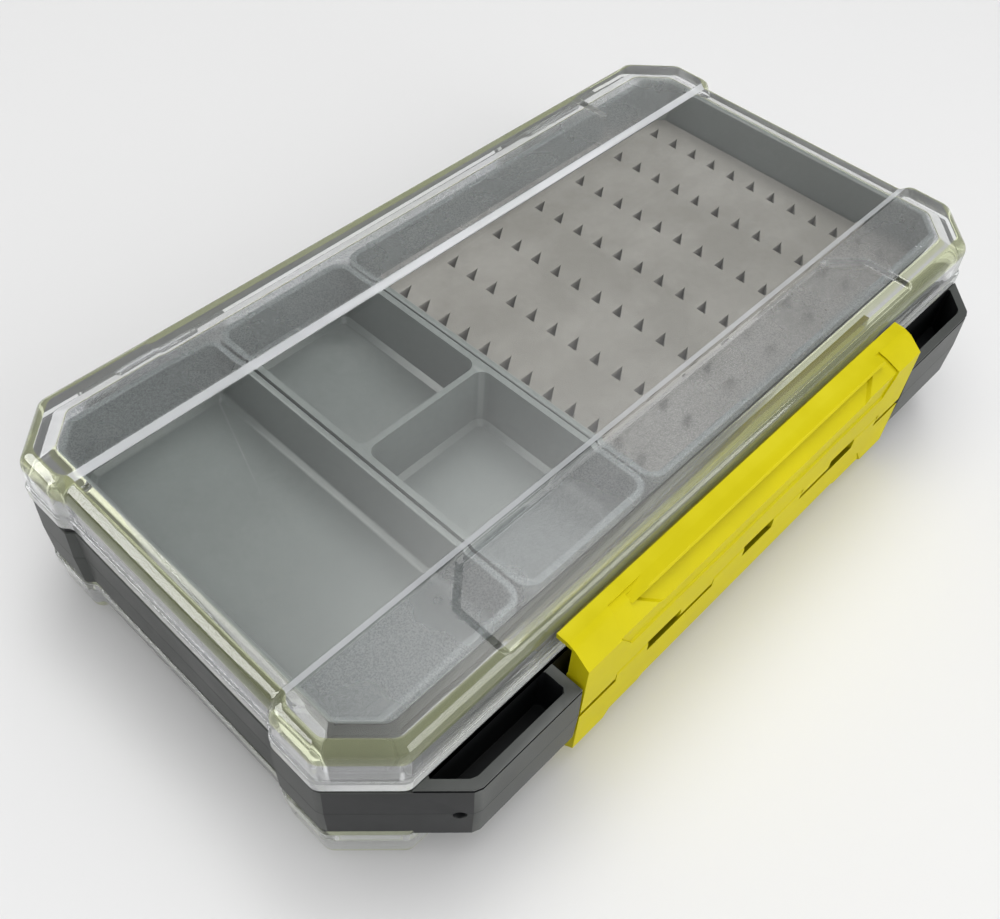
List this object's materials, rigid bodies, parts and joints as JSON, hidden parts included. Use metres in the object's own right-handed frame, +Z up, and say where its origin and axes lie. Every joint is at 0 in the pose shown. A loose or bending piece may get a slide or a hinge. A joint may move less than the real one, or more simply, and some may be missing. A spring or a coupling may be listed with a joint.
{
  "type": "fly box",
  "caption": "Double-sided fly box: dark frame with clear hinged lids above and below, interleaved snap latches on a common pin, lift-out bins and slit mats.",
  "frame": {"origin": "centre of the bounding box at its bottom face, where the closed box lies on its lower lid", "axes": "+X along the box's length, +Y from the latch side to the hinge side, +Z up through the upper lid"},
  "size_m": [0.188, 0.111, 0.0394],
  "materials": {
    "charcoal_plastic": "fine moulded texture",
    "black_rubber": "matte",
    "pin_steel": "ground",
    "bin_plastic": "satin",
    "mat_silicone": "soft matte",
    "clear_plastic": "polished, with frosted pads",
    "yellow_plastic": "satin"
  },
  "bodies": {
    "box": {"frame": "charcoal_plastic", "top_seal": "black_rubber", "bottom_seal": "black_rubber", "hinge_pins": "pin_steel", "latch_pin": "pin_steel", "large_bin": "bin_plastic", "split_bin": "bin_plastic", "slit_tray": "bin_plastic", "slit_mat": "mat_silicone", "lower_left_tray": "bin_plastic", "lower_right_tray": "bin_plastic", "lower_left_mat": "mat_silicone", "lower_right_mat": "mat_silicone"},
    "top_lid": {"top_lid": "clear_plastic"},
    "bottom_lid": {"bottom_lid": "clear_plastic"},
    "upper_latch": {"upper_latch": "yellow_plastic"},
    "lower_latch": {"lower_latch": "yellow_plastic"}
  },
  "joints": [
    {"name": "top_lid_hinge", "type": "hinge", "parent": "box", "child": "top_lid", "pos_m": [0, 0.0533, 0.025], "axis": [-1, 0, 0], "range_deg": [0, 110]},
    {"name": "bottom_lid_hinge", "type": "hinge", "parent": "box", "child": "bottom_lid", "pos_m": [0, 0.0533, 0.0144], "axis": [1, 0, 0], "range_deg": [0, 110]},
    {"name": "upper_latch_hinge", "type": "hinge", "parent": "box", "child": "upper_latch", "pos_m": [0, -0.0529, 0.0197], "axis": [1, 0, 0], "range_deg": [0, 25]},
    {"name": "lower_latch_hinge", "type": "hinge", "parent": "box", "child": "lower_latch", "pos_m": [0, -0.0529, 0.0197], "axis": [-1, 0, 0], "range_deg": [0, 25]}
  ]
}
